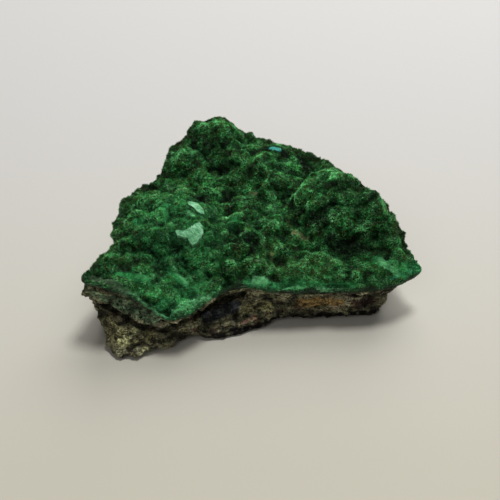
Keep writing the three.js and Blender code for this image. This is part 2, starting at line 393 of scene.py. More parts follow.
class GeometryTree(Tree):
    """A node group for a Geometry Nodes modifier."""

    DOME_STEEPNESS = 1.25
    MEAN_DISTANCE = 0.4  # usual distance from the middle of a cell, in cell widths
    SOCKETS = {
        float: "NodeSocketFloat",
        int: "NodeSocketInt",
        Object: "NodeSocketObject",
        Material: "NodeSocketMaterial",
    }

    def __init__(self, name: str, inputs: dict[str, type]) -> None:
        """Starts a group.

        Args:
            name: The group's name.
            inputs: Name and type of each input besides the geometry.
        """
        super().__init__(bpy.data.node_groups.new(name, "GeometryNodeTree"))
        face = self.nodes.interface
        face.new_socket(name="Geometry", in_out="INPUT", socket_type="NodeSocketGeometry")
        face.new_socket(name="Geometry", in_out="OUTPUT", socket_type="NodeSocketGeometry")
        self.sockets = {
            key: face.new_socket(name=key, in_out="INPUT", socket_type=self.SOCKETS[kind])
            for key, kind in inputs.items()
        }
        self.given = self.nodes.nodes.new("NodeGroupInput")

    def input(self, name: str) -> Wire:
        """One of the group's inputs."""
        return Wire(self, self._find(self.given.outputs, name))

    def attribute(self, mark: Mark, data_type: str = "FLOAT") -> Wire:
        """Reads a named attribute of the mesh."""
        settings = {"data_type": data_type}
        return self.node("GeometryNodeInputNamedAttribute", settings, {"Name": mark.value})

    def places(self) -> Wire:
        """Positions in millimetres."""
        return self.scaled(self.node("GeometryNodeInputPosition"), 1.0 / MM)

    def stored(self, geometry: Wire, mark: Mark, value: Wire) -> Wire:
        """Stores a value at every vertex of a mesh."""
        inputs = {"Geometry": geometry, "Name": mark.value, "Value": value}
        return self.node("GeometryNodeStoreNamedAttribute", {"data_type": "FLOAT"}, inputs)

    def swirl(self, places: Wire, size: float) -> Wire:
        """Soft noise of vectors, its features so many millimetres wide."""
        inputs = {"Vector": self.scaled(places, 1.0 / size), "Scale": 1.0, "Detail": 2.0}
        return self.node("ShaderNodeTexNoise", None, inputs, "Color")

    def warped(self, places: Wire, size: float, amount: float) -> Wire:
        """Shifts places by a soft noise, both in millimetres, so that cells made from them flow."""
        return self.vector("ADD", places, self.scaled(self.swirl(places, size), amount))

    def domes(self, places: Wire, size: float) -> Wire:
        """Round domes so many millimetres wide: 1 at their tops and about 0 between them."""
        return 1.0 - (self.cells(places, size) * self.DOME_STEEPNESS) ** 2.0

    def pushed_out(self, height: Wire) -> Wire:
        """Moves the surface along its normals.

        Args:
            height: How far, in millimetres.

        Returns:
            The moved geometry.
        """
        offset = self.scaled(self.node("GeometryNodeInputNormal"), height * MM)
        inputs = {"Geometry": self.input("Geometry"), "Offset": offset}
        return self.node("GeometryNodeSetPosition", None, inputs)

    def finish(self, geometry: Wire) -> None:
        """Ends the group in Realize Instances and Set Material.

        Args:
            geometry: What the group has made.
        """
        whole = self.node("GeometryNodeRealizeInstances", None, {"Geometry": geometry})
        inputs = {"Geometry": whole, "Material": self.input("Material")}
        dressed = self.node("GeometryNodeSetMaterial", None, inputs)
        self.node("NodeGroupOutput", None, {"Geometry": dressed})

    def applied(self, piece: Object, values: dict[str, object]) -> Mesh:
        """Runs the group on an object as a modifier.

        Args:
            piece: The object, which keeps its own mesh.
            values: A value for each of the group's inputs.

        Returns:
            The resulting plain mesh.
        """
        modifier = piece.modifiers.new(self.nodes.name, "NODES")
        modifier.node_group = self.nodes
        for name, value in values.items():
            modifier[self.sockets[name].identifier] = value
        mesh = evaluated(piece)
        piece.modifiers.remove(modifier)
        return mesh


# --- Mesh helpers ---


def evaluated(piece: Object) -> Mesh:
    """The mesh that an object's modifiers make, as a plain mesh.

    Args:
        piece: The object.

    Returns:
        The mesh, which no object uses yet.
    """
    graph = bpy.context.evaluated_depsgraph_get()
    graph.update()
    return bpy.data.meshes.new_from_object(piece.evaluated_get(graph), depsgraph=graph)


def new_piece(name: str, mesh: Mesh) -> Object:
    """Puts a mesh in the scene as an object at the origin.

    Args:
        name: A name for the object and the mesh.
        mesh: The mesh.

    Returns:
        The object.
    """
    mesh.name = name
    piece = bpy.data.objects.new(name, mesh)
    bpy.context.scene.collection.objects.link(piece)
    return piece


def gathered(
    items: bpy_prop_collection, name: str, width: int = 1, kind: type = np.float32
) -> np.ndarray:
    """Reads one property of every item of a collection.

    Args:
        items: The collection, such as a mesh's vertices.
        name: The property's name.
        width: How many numbers the property has.
        kind: The type of the numbers.

    Returns:
        One row for each item, or one number where the width is 1.
    """
    flat = np.empty(len(items) * width, kind)
    items.foreach_get(name, flat)
    return flat.reshape(-1, width) if width > 1 else flat


def vertices_of(mesh: Mesh) -> np.ndarray:
    """A mesh's vertices in millimetres, one row each."""
    return gathered(mesh.vertices, "co", 3).astype(float) / MM


def normals_of(mesh: Mesh) -> np.ndarray:
    """A mesh's vertex normals, one row each."""
    return gathered(mesh.vertex_normals, "vector", 3).astype(float)


def store(mesh: Mesh, mark: Mark, values: np.ndarray, kind: str = "FLOAT") -> None:
    """Stores a named attribute.

    Args:
        mesh: The mesh.
        mark: The attribute's name.
        values: One value or colour for each vertex, or for each face if kind is INT.
        kind: FLOAT, FLOAT_COLOR or INT.
    """
    domain = "FACE" if kind == "INT" else "POINT"
    layer = mesh.attributes.get(mark.value) or mesh.attributes.new(mark.value, kind, domain)
    field_name = "color" if kind == "FLOAT_COLOR" else "value"
    layer.data.foreach_set(field_name, np.ascontiguousarray(values).ravel())


def remeshed(node: str, voxel: float, smoothing: int) -> Object:
    """An evenly meshed copy of a CAD node.

    Args:
        node: The node's name.
        voxel: Edge of a voxel in millimetres.
        smoothing: Number of smoothing passes, which take the facets away.

    Returns:
        The copy, as a new object.
    """
    copy = new_piece(f"{node}_copy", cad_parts[node].data.copy())
    weld = copy.modifiers.new("weld", "WELD")
    weld.merge_threshold = WELD * MM
    even = copy.modifiers.new("remesh", "REMESH")
    even.mode = "VOXEL"
    even.voxel_size = voxel * MM
    smooth = copy.modifiers.new("smooth", "SMOOTH")
    smooth.factor = 0.5
    smooth.iterations = smoothing
    mesh = evaluated(copy)
    mesh.materials.clear()
    bpy.data.objects.remove(copy)
    return new_piece(f"{node}_base", mesh)


def distance_to_path(points: np.ndarray, path: Sequence[Place]) -> np.ndarray:
    """Distance from points to the nearest place on a path.

    Args:
        points: One row for each point, with as many coordinates as the path's places or more.
        path: One place or more.

    Returns:
        One distance for each point.
    """
    corners = np.array(path, float)
    flat = points[:, : corners.shape[1]]
    nearest = np.linalg.norm(flat - corners[0], axis=1)
    for start, end in zip(corners, corners[1:]):
        along = end - start
        share = np.clip((flat - start) @ along / (along @ along), 0.0, 1.0)
        distance = np.linalg.norm(flat - start - share[:, None] * along, axis=1)
        nearest = np.minimum(nearest, distance)
    return nearest


def raised(path: Sequence[Place], lift: float) -> tuple[Place, ...]:
    """A path moved up."""
    return tuple((x, y, z + lift) for x, y, z in path)


@dataclass(frozen=True)
class Stain:
    """A local colour along a path, or round one place.

    A path of [x, y] places stains everything above and below it, and one of [x, y, z] places
    stains only what is near them.
    """

    pigment: Pigment
    width: float
    strength: float
    path: tuple[Place, ...]
    core: float = 0.35  # share of the width that is fully stained

    def on(self, points: np.ndarray) -> np.ndarray:
        """How strongly the stain colours each point, from 0 to 1."""
        distance = distance_to_path(points, self.path)
        return self.strength * smoothstep(self.width, self.core * self.width, distance)


def painted(points: np.ndarray, stains: Sequence[Stain]) -> np.ndarray:
    """Lays stains on points.

    Args:
        points: Points in millimetres, one row each.
        stains: The stains.

    Returns:
        Red, green, blue and strength for each point.
    """
    weights = np.stack([stain.on(points) for stain in stains])
    colours = np.array([stain.pigment.linear for stain in stains])
    total = np.maximum(weights.sum(0), 1e-6)
    mixed = np.einsum("sp,sc->pc", weights, colours) / total[:, None]
    return np.column_stack([mixed, weights.max(0)])


@dataclass
class Rim:
    """The outline of the crust, read by direction from a place inside it."""

    centre: tuple[float, float] = (-1.3, -5.0)
    bins: int = 240
    front: tuple[float, float] = (-154.0, -14.0)  # directions in degrees where it is broken off
    fade: float = 4.0
    radii: np.ndarray = field(init=False)

    def __post_init__(self) -> None:
        """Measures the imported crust."""
        places = vertices_of(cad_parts["malachite_crust"].data)
        directions, distances = self.polar(places)
        self.radii = np.zeros(self.bins)
        np.maximum.at(self.radii, self._bin(directions), distances)

    def _bin(self, directions: np.ndarray) -> np.ndarray:
        """The bin that each direction falls in."""
        return np.floor((directions + 180.0) / 360.0 * self.bins).astype(int) % self.bins

    def polar(self, points: np.ndarray) -> tuple[np.ndarray, np.ndarray]:
        """Directions in degrees and distances of points from the centre."""
        x, y = points[:, 0] - self.centre[0], points[:, 1] - self.centre[1]
        return np.degrees(np.arctan2(y, x)), np.hypot(x, y)

    def inset(self, points: np.ndarray) -> np.ndarray:
        """How far inside the outline each point lies."""
        directions, distances = self.polar(points)
        return self.radii[self._bin(directions)] - distances

    def at_front(self, points: np.ndarray) -> np.ndarray:
        """1 where the crust is broken off, fading to 0 where it grew over the edge."""
        (low, high), (turn, _) = self.front, self.polar(points)
        return smoothstep(low - self.fade, low, turn) * smoothstep(high + self.fade, high, turn)


# --- Finishes ---


@dataclass(frozen=True)
class NeedleFinish:
    """Silky green needles, with painted shade at their roots and in the hollows, painted light on the
    knob tops, and a few needles painted pale as glints.
    """

    name: str = "malachite_needles"
    roughness: float = 0.55
    specular: float = 0.15
    patch: float = 7.0
    mottle: float = 2.4

    def build(self) -> Material:
        """Builds the material.

        Returns:
            The material.
        """
        tree = FinishTree(self.name)
        patches = tree.blotches(self.patch, 2.2, detail=3.0, roughness=0.6)
        mottles = tree.blotches(self.mottle, 2.6, detail=2.0)
        tuft, own = tree.attribute(Mark.TUFT), tree.attribute(Mark.NEEDLE)
        relief = tree.attribute(Mark.RELIEF)
        # The relief term makes knob tops paler: painted light on the tops.
        tone = patches * 0.35 + mottles * 0.3 + tuft * 0.15 + relief * 0.2
        colour = tree.ramp(
            tone.contrast(1.8),
            (0.14, (14, 46, 14)),
            (0.38, (43, 122, 52)),
            (0.58, (72, 178, 96)),
            (0.84, (124, 210, 142)),
        )
        brown = tree.blotches(2.0, 2.2, detail=4.0, roughness=0.75)
        dusty = brown.step(0.25, 0.85) * relief.step(0.25, 0.75) * (0.6 + own * 0.4)
        colour = tree.mix(dusty, colour, (88, 92, 46))
        # Painted shade: darker olive along the crust's grown edge, where velvet seen edge-on looks
        # darker.
        colour = tree.mix(tree.attribute(Mark.RIM_SHADE) * 0.55, colour, (58, 70, 30))
        colour = tree.stained(colour)
        # A few needles painted pale: painted glints.
        colour = tree.mix(own.step(0.95, 0.98) * 0.5, colour, (176, 212, 170))
        # Painted shade: darker towards the roots (tip) and in the hollows (relief); own, tuft and
        # patches vary the tone at random.
        shade = (0.35 + tree.attribute(Mark.TIP)) * (0.4 + own * 0.7 + tuft * 0.5)
        shade = shade * (0.12 + relief.step(0.2, 0.78) * 1.36) * (0.65 + patches * 0.7)
        # Stained places are lifted out of the painted shade.
        marked = tree.attribute(Mark.STAIN, "Alpha").step(0.4, 1.0)
        shade = shade + (1.1 - shade) * marked * 0.8
        return tree.finish(tree.scaled(colour, shade), self.roughness, self.specular)


@dataclass(frozen=True)
class CrustFinish:
    """The crust's own skin: kept dark as painted shade between the needles, and banded where it is
    broken off.
    """

    name: str = "malachite_skin"
    roughness: float = 0.75
    specular: float = 0.3
    depth: float = 0.35

    def build(self) -> Material:
        """Builds the material.

        Returns:
            The material.
        """
        tree = FinishTree(self.name)
        patches = tree.blotches(3.5, 2.0, detail=4.0, roughness=0.65)
        # The dark skin colour between the needles is painted shade.
        colour = tree.ramp(
            patches,
            (0.10, (8, 20, 8)),
            (0.45, (16, 48, 20)),
            (0.75, (30, 80, 40)),
            (1.00, (60, 62, 30)),
        )
        fibres = tree.blotches(0.8, 2.6, detail=4.0, roughness=0.7, stretch=(3, 3, 0.5))
        broken = tree.ramp(
            fibres,
            (0.05, (12, 28, 18)),
            (0.45, (36, 66, 44)),
            (0.70, (62, 104, 70)),
            (0.95, (108, 152, 116)),
        )
        stony = tree.blotches(6.0, 2.5, detail=3.0).step(0.2, 0.8)
        broken = tree.mix(stony * 0.8, broken, (40, 54, 36))
        colour = tree.mix(tree.attribute(Mark.EDGE), colour, broken)
        colour = tree.scaled(tree.stained(colour), 0.6 + fibres * 0.6)
        normal = tree.bump(fibres, self.depth)
        return tree.finish(colour, self.roughness, self.specular, Normal=normal)


@dataclass(frozen=True)
class RockFinish:
    """Broken iron-stained rock: brown-black, with grey, olive and rusty parts."""

    name: str = "matrix_rock"
    roughness: float = 0.85
    specular: float = 0.25
    depth: float = 1.1

    def build(self) -> Material:
        """Builds the material.

        Returns:
            The material.
        """
        tree = FinishTree(self.name)
        patches = tree.blotches(6.0, 2.4, detail=4.0, roughness=0.6, distortion=0.6)
        colour = tree.ramp(
            patches,
            (0.10, (64, 60, 46)),
            (0.40, (104, 104, 80)),
            (0.65, (142, 142, 112)),
            (0.90, (176, 170, 142)),
        )
        rust = tree.blotches(2.6, 2.4, detail=3.0)
        colour = tree.mix(rust.step(0.55, 1.0) * 0.6, colour, (92, 62, 44))
        colour = tree.stained(colour, 0.7, 1.6)
        crumbs = tree.blotches(1.1, 4.2, detail=5.0, roughness=0.75, distortion=1.2)
        layers = tree.blotches(1.0, 2.6, detail=3.0, stretch=(5, 5, 0.7), distortion=1.0)
        # Painted shade: the low places of the relief are darkened; crumbs and layers vary the tone at
        # random.
        cavity_shade = tree.attribute(Mark.RELIEF).step(0.1, 0.7)
        shade = (0.02 + crumbs * 2.7) * (0.25 + layers * 1.6) * (0.3 + cavity_shade * 1.2)
        colour = tree.scaled(colour, shade)
        pale = tree.blotches(1.4, 3.0, detail=3.0).step(0.7, 1.0)
        colour = tree.mix(pale * crumbs * 0.5, colour, (176, 166, 144))
        normal = tree.bump(crumbs * 0.6 + layers * 0.4, self.depth)
        return tree.finish(colour, self.roughness, self.specular, Normal=normal)


@dataclass(frozen=True)
class ChipFinish:
    """Pale malachite where the velvet has broken away."""

    name: str = "malachite_chip"
    roughness: float = 0.7
    specular: float = 0.3
    depth: float = 0.7

    def build(self) -> Material:
        """Builds the material.

        Returns:
            The material.
        """
        tree = FinishTree(self.name)
        clouds = tree.noise(tree.places, 2.2, detail=4.0, roughness=0.6)
        grain = tree.noise(tree.places, 0.45, detail=3.0, roughness=0.7)
        colour = tree.ramp(
            (clouds * 0.65 + grain * 0.35).contrast(1.8),
            (0.20, (52, 116, 72)),
            (0.45, (96, 168, 118)),
            (0.75, (150, 214, 170)),
        )
        normal = tree.bump(clouds * 0.6 + grain * 0.4, self.depth)
        return tree.finish(colour, self.roughness, self.specular, Normal=normal)


@dataclass(frozen=True)
class FloorFinish:
    """A plain pale table top, painted a little warmer and darker towards the front: painted light for
    the warmer, dimmer light there.
    """

    name: str = "floor"
    roughness: float = 0.8
    specular: float = 0.2
    back: float = 120.0
    front: float = -160.0

    def build(self) -> Material:
        """Builds the material.

        Returns:
            The material.
        """
        tree = FinishTree(self.name)
        along = tree.node("ShaderNodeSeparateXYZ", None, {"Vector": tree.places}, "Y")
        # Painted light: warmer and darker towards the front.
        near = along.step(self.back, self.front)
        colour = tree.mix(near, (198, 197, 196), (200, 196, 180))
        return tree.finish(colour, self.roughness, self.specular)


# --- The specimen ---


@dataclass
class Rock:
    """The broken slab of rock under the crust."""

    voxel: float = 0.45
    smoothing: int = 2
    block: float = 5.5
    block_depth: float = 2.6
    warp: float = 5.0
    crumb: float = 2.2
    crumb_depth: float = 0.9
    layer: float = 1.0
    layer_depth: float = 0.8
    grain: float = 0.9
    grain_depth: float = 0.5
    crack_depth: float = 2.0
    crack_width: tuple[float, float] = (1.3, 0.3)  # outside it and in its depth
    clearance: tuple[float, float] = (0.2, 1.2)  # heights between which the relief fades in
    settling: tuple[tuple[float, float], ...] = ((0, 0), (4, 1.1), (6, 3.2), (10, 10), (40, 40))
    crack: tuple[Place, ...] = (
        (-50.0, -30.5, 10.7),
        (-44.8, -33.3, 11.5),
        (-39.2, -36, 9.5),
        (-35.9, -37.7, 8.2),
        (-31.3, -38.3, 7.0),
        (-27.1, -38.3, 5.7),
    )
    bay_crack: tuple[Place, ...] = (
        (-18, -32.8, 6.3),
        (-15.2, -30.6, 8),
        (-12.5, -29.1, 8.2),
        (-7.5, -27.1, 8.8),
        (-1.3, -25.5, 9.8),
    )
    recess: tuple[Place, ...] = ((30.5, -26.2, 9.2), (34.6, -25.5, 8.9), (38, -25.5, 9.8))
    stains: tuple[Stain, ...] = (
        *Pigment.SAGE.stains(
            (
                3.6, 0.85, (-52, -28.5, 17.5), (-48, -30.4, 16), (-41, -33.4, 13.5),
                (-35, -34.9, 11.5), (-30.4, -36.6, 9.8),
            ),
        ),
        *Pigment.KHAKI.stains(
            (5.0, 0.7, (-45.9, -36.1, 6.8), (-42, -39.4, 5), (-33, -40.4, 5)),
            (1.6, 0.9, (-28.8, -41.3, 4.8), (-25.2, -39.5, 5.6), (-23.4, -38.6, 5.5)),
            (2.4, 1.0, (-2.9, -29, 6.2), (2.5, -27.3, 6.4), (4.5, -27.6, 5.4)),
        ),
        *Pigment.OLIVE.stains((3.4, 1.0, (-39.4, -42.4, 5.8), (-34.9, -40.6, 6.8))),
        # Painted shade: dark in the cracks, the recess and under the crust's edge; painted shadow
        # along the bottom where the rock nears the floor.
        *Pigment.PAINTED_SHADE.stains(
            (1.0, 0.8, (-40.5, -44.4, 3.8), (-36.5, -43.9, 4), (-32.4, -42.7, 4.6)),
            (1.2, 1.0, *raised(bay_crack, 0.7)),
            (1.0, 0.9, (6.5, -27.1, 10.2), (13.3, -26.4, 10.6), (21.9, -27.5, 12.2), (29, -27.4, 12)),
            (1.8, 1.0, *raised(recess, 0.2)),
            (1.6, 0.6, (-20, -37.5, 7), (-24.5, -38.8, 7.4)),
            (2.4, 0.9, (-24, -38, 0.3), (-12, -35.5, 0.3), (4, -31, 0.3)),
            (2.8, 0.9, (4, -30, 0.6), (14, -28, 1), (30, -27, 0.6), (39, -25.5, 0.6)),
        ),
        *Pigment.ROSE.stains(
            (0.8, 1.0, (-41.9, -44.2, 3.7), (-41.6, -44.4, 3.5)),
            (1.3, 0.8, (-18.9, -35.9, 3.7), (-13, -35, 2.6), (-6, -33, 2.8), (0, -30.5, 3.6)),
            (0.8, 0.7, (12, -27.8, 5), (19, -27.8, 5.2), (26, -27.6, 5)),
        ),
        *Pigment.SLATE.stains(
            (3.2, 1.0, (-14.5, -32, 5.6), (-10, -30, 6.4), (-6, -28.9, 6.9)),
            (2.6, 0.6, (40, -25, 8), (44, -23, 9.5)),
        ),
        *Pigment.OCHRE.stains((2.5, 1.0, (14.6, -27.2, 7.2), (20.5, -27.4, 7.8), (26.4, -27.4, 7.5))),
        *Pigment.RUST.stains((2.6, 0.9, (31.8, -27.4, 6.2), (36.5, -24.9, 5))),
    )

    def build(self, finish: Material) -> Object:
        """Makes the rock.

        Args:
            finish: Its material.

        Returns:
            The finished piece.
        """
        base = remeshed("matrix_rock", self.voxel, self.smoothing)
        places = vertices_of(base.data)
        places[:, 2] = np.interp(places[:, 2], *zip(*self.settling))
        base.data.vertices.foreach_set("co", (places * MM).ravel())
        store(base.data, Mark.CALM, smoothstep(*self.clearance, places[:, 2]))
        paths = (self.crack, self.bay_crack, self.recess)
        nearest = np.min([distance_to_path(places, path) for path in paths], axis=0)
        store(base.data, Mark.EDGE, smoothstep(*self.crack_width, nearest))
        mesh = self._relief().applied(base, {"Material": finish})
        bpy.data.objects.remove(base)
        store(mesh, Mark.STAIN, painted(vertices_of(mesh), self.stains), "FLOAT_COLOR")
        return new_piece("rock", mesh)

    def _relief(self) -> GeometryTree:
        """Breaks the surface into blocks, crumbs, layers and grains.

        Returns:
            The tree, whose one input is the material.
        """
        tree = GeometryTree("rock_relief", {"Material": Material})
        places = tree.places()
        warped = tree.warped(places, self.block, self.warp)
        blocks = tree.cells(warped, self.block, distance="CHEBYCHEV")
        crumbs = tree.cells(warped, self.crumb)
        layers = tree.noise(places, self.layer, detail=2.0, stretch=(6, 6, 0.9), distortion=0.6)
        grains = tree.noise(places, self.grain, detail=3.0, roughness=0.65)
        height = (
            (tree.MEAN_DISTANCE - blocks) * self.block_depth
            + (tree.MEAN_DISTANCE - crumbs) * self.crumb_depth
            + (layers.contrast(2.0) - 0.5) * self.layer_depth
            + (grains.contrast(2.0) - 0.5) * self.grain_depth
            - tree.attribute(Mark.EDGE) * self.crack_depth
        )
        moved = tree.pushed_out(height * tree.attribute(Mark.CALM))
        tree.finish(tree.stored(moved, Mark.RELIEF, 0.5 + height * 0.5))
        return tree


@dataclass
class Crust:
    """The malachite crust without its needles."""

    rim: Rim
    voxel: float = 0.45
    smoothing: int = 3
    knob: float = 5.2
    knob_height: float = 1.8
    bud: float = 2.3
    bud_height: float = 0.5
    lump: float = 3.6
    lump_height: float = 1.6
    warp: float = 5.0
    grain: float = 0.9
    grain_height: float = 0.2
    edge: tuple[float, float] = (1.8, 0.8)  # insets between which the broken edge fades in
    worn_edge: tuple[float, float] = (2.2, 0.8)  # the same for its shorter needles
    smooth_edge: tuple[float, float] = (3.0, 0.5)  # the same for its lower knobs
    rim_shade: tuple[float, float] = (5.0, 0.5)  # the same for the painted shade along the grown edge, a darker olive band
    edge_damping: float = 0.35
    edge_loss: float = 0.5  # share of the needles' length that is lost at the broken edge
    worn_loss: float = 0.55
    calm_core: float = 0.3  # share of a calm spot's radius that is fully calm
    top: tuple[float, float] = (-0.35, 0.2)  # slopes between which the knobs fade in
    calm: tuple[tuple[float, float, float, float], ...] = (
        (-37.0, -26.4, 9.0, 0.5),
        (-26.0, -29.4, 8.0, 0.5),
        (-17.0, -32.4, 8.0, 0.5),
        (2.0, -26.4, 6.0, 0.7),
        (14.0, -23.4, 9.0, 0.6),
        (26.0, -22.4, 9.0, 0.6),
        (38.0, -21.4, 9.0, 0.6),
        (48.0, -20.4, 7.0, 0.7),
        (7.0, 26.4, 5.0, 0.9),
        (-9.0, 42.0, 9.0, 0.75),
        (-19.8, -15.2, 8.0, 1.0),
        (-18.3, -3.6, 6.5, 1.0),
    )
    stains: tuple[Stain, ...] = (
        *Pigment.SAGE.stains((1.6, 0.7, (-49, -30.4), (-43, -32.4), (-38.5, -33.5))),
        *Pigment.JADE.stains(
            (22.0, 0.3, (-24, -7.4), (-24, -29.4)),
            (3.0, 0.5, (-29, -34.9), (-24, -35), (-18, -31.4)),
            (2.0, 0.6, (-2, -27.2), (7, -27.2)),
            (2.6, 0.6, (10, -26.4), (15, -26.4)),
            (1.3, 0.5, (8, -27.2), (16, -26.6), (22, -27), (31, -26.6)),
            (2.6, 0.6, (38, -18.4), (41, -20), (46, -22.4)),
            (3.0, 0.7, (47.5, -20.5), (52, -19)),
            (1.4, 0.9, (-41.5, -28.2), (-36, -29.4), (-32.4, -29.6)),
            (1.7, 0.85, (-26, -25.4), (-23.3, -27), (-21.2, -29)),
            (2.2, 0.7, (-37, -7.9), (-36, -8.4)),
            (2.2, 0.6, (-28.3, -2.4), (-27.6, -6.4)),
            (2.4, 0.45, (-30, -19.4), (-28, -21.4)),
            (2.6, 0.45, (-7, -8.4), (-6, -6.4)),
        ),
        *Pigment.MINT.stains(
            (0.6, 0.6, (-37.5, -33.7), (-33.7, -35.3), (-30.1, -37.3), (-27, -38.9)),
            (1.8, 0.7, (-24.5, -37), (-22, -36.4), (-19.5, -35), (-16.5, -33)),
            (1.4, 0.7, (-15.2, -33), (-13.4, -32.2)),
            (1.7, 1.0, (0.4, -26.6), (3.4, -26)),
            (0.6, 0.7, (9, -27.9), (12, -27.4), (16, -27.5)),
            (0.5, 0.6, (19, -27.8), (27, -27.6)),
            (1.7, 0.9, (39.5, -18.9), (41, -20.4)),
            (1.4, 0.9, (43, -21.4), (44, -22.4)),
            (0.7, 0.6, (-36, -29.2), (-32.8, -29.4)),
            (1.0, 0.8, (-24.6, -25), (-22.4, -26.6), (-20.8, -28.8)),
            (1.2, 0.7, (-20.6, -6), (-19.3, -6.8)),
            (0.8, 0.6, (-15.5, 42.6), (-13, 42.8)),
            (0.7, 0.6, (-0.5, 37.4), (0.5, 37.2)),
        ),
        *Pigment.TEAL.stains((0.9, 0.5, (42, -24.3), (46.8, -22.4), (49.5, -21.2))),
        *Pigment.TURQUOISE.stains((1.4, 1.0, (5.8, 27), (8.2, 26))),
        *Pigment.TAN.stains(
            (1.0, 0.6, (-1.2, 10.2), (0.8, 9)),
            (1.0, 0.7, (12.3, -9), (16.5, -10.8)),
            (0.7, 0.7, (5.4, -17.6), (5.2, -19.4)),
            (0.5, 0.6, (-18.7, -25.9), (-18.6, -26.4)),
        ),
        *Pigment.MOSS.stains(
            (6.0, 0.25, (4, -18.4), (12, -21.4), (22, -20.4)),
            (3.0, 0.25, (-36, -23.4), (-30, -26.4)),
        ),
        # Painted shade: dark green in the hollows between the knobs, and a broad wash over the steep
        # right slope.
        *Pigment.PAINTED_GREEN_SHADE.stains(
            (16.0, 0.25, (30, 6.6), (40, -5.4)),
            (3.2, 0.8, (16.9, 20.7), (15.3, 23.2)),
            (2.6, 0.8, (-1.2, 0.8), (0, 0.6)),
            (2.4, 0.9, (-7.5, -9.9), (-4.5, -11.9)),
            (2.2, 0.7, (-2.8, -15.2), (-1.5, -15.9)),
            (2.6, 0.7, (23.8, -13.3), (28.5, -14), (33, -14.4)),
            (2.4, 0.7, (17.6, -7), (22, -7.9)),
            (2.0, 0.6, (13, -2.3), (14.5, -3.9)),
            (2.2, 0.6, (-29, -16.2), (-24, -17.9)),
            (1.8, 0.6, (-26.8, -22.8), (-26, -23.6)),
            (2.2, 0.6, (-13.5, -1.4), (-12.5, -6.4)),
        ),
    )
    bare: tuple[Pigment, ...] = (Pigment.TURQUOISE,)
    worn: tuple[Pigment, ...] = (Pigment.MINT, Pigment.TEAL)

    def build(self, finish: Material) -> Object:
        """Makes the crust.

        Args:
            finish: Its material.

        Returns:
            The finished piece.
        """
        base = remeshed("malachite_crust", self.voxel, self.smoothing)
        places, normals = vertices_of(base.data), normals_of(base.data)
        on_top = smoothstep(*self.top, normals[:, 2])
        store(base.data, Mark.CALM, on_top * self._liveliness(places))
        mesh = self._relief().applied(base, {"Material": finish})
        bpy.data.objects.remove(base)
        self._mark(mesh)
        return new_piece("crust", mesh)

    def _liveliness(self, places: np.ndarray) -> np.ndarray:
        """How strongly the knobs show.

        Args:
            places: Places on the crust, one row each.

        Returns:
            0 to 1 for each place.
        """
        lively = np.ones(len(places))
        for x, y, radius, damping in self.calm:
            distance = distance_to_path(places, ((x, y),))
            lively *= 1.0 - damping * smoothstep(radius, self.calm_core * radius, distance)
        front = self.rim.at_front(places) * smoothstep(*self.smooth_edge, self.rim.inset(places))
        return lively * (1.0 - self.edge_damping * front)

    def _relief(self) -> GeometryTree:
        """Raises the knobs, the buds on them and a fine grain.

        Returns:
            The tree, whose one input is the material.
        """
        tree = GeometryTree("crust_relief", {"Material": Material})
        places = tree.places()
        warped = tree.warped(places, self.knob, self.warp)
        knobs, buds = tree.domes(warped, self.knob), tree.domes(warped, self.bud)
        lumps = tree.noise(places, self.lump, detail=2.0, roughness=0.6).contrast(2.0)
        grains = tree.noise(places, self.grain, detail=2.0)
        height = (
            (knobs - 0.55) * self.knob_height
            + (buds - 0.5) * self.bud_height
            + (lumps - 0.5) * self.lump_height
            + (grains - 0.5) * 2.0 * self.grain_height
        )
        moved = tree.pushed_out(height * tree.attribute(Mark.CALM))
        relief = knobs * 0.4 + buds * 0.3 + lumps * 0.3
        tree.finish(tree.stored(moved, Mark.RELIEF, relief))
        return tree

    def _mark(self, mesh: Mesh) -> None:
        """Stores where the crust is broken, stained and covered with needles.

        Args:
            mesh: The crust's mesh.
        """
        places, normals = vertices_of(mesh), normals_of(mesh)
        front, inset = self.rim.at_front(places), self.rim.inset(places)
        steep = smoothstep(0.75, 0.35, normals[:, 2])
        snapped = front * smoothstep(*self.edge, inset) * steep
        store(mesh, Mark.EDGE, np.maximum(snapped, smoothstep(-0.2, -0.5, normals[:, 2])))
        store(mesh, Mark.STAIN, painted(places, self.stains), "FLOAT_COLOR")
        # Painted shade along the grown edge, for velvet seen edge-on.
        store(mesh, Mark.RIM_SHADE, (1.0 - front) * smoothstep(*self.rim_shade, inset))
        bare, worn = self._strength(places, self.bare), self._strength(places, self.worn)
        lost = front * smoothstep(*self.worn_edge, inset) * self.edge_loss
        short = np.maximum(worn * self.worn_loss, lost)
        upward = smoothstep(-0.35, 0.05, normals[:, 2])
        store(mesh, Mark.PILE, upward * (1.0 - snapped) * (1.0 - bare) * (1.0 - short))

    def _strength(self, places: np.ndarray, pigments: Sequence[Pigment]) -> np.ndarray:
        """How strongly stains of certain pigments lie on each place."""
        chosen = [stain for stain in self.stains if stain.pigment in pigments]
        return np.max([stain.on(places) for stain in chosen], axis=0)


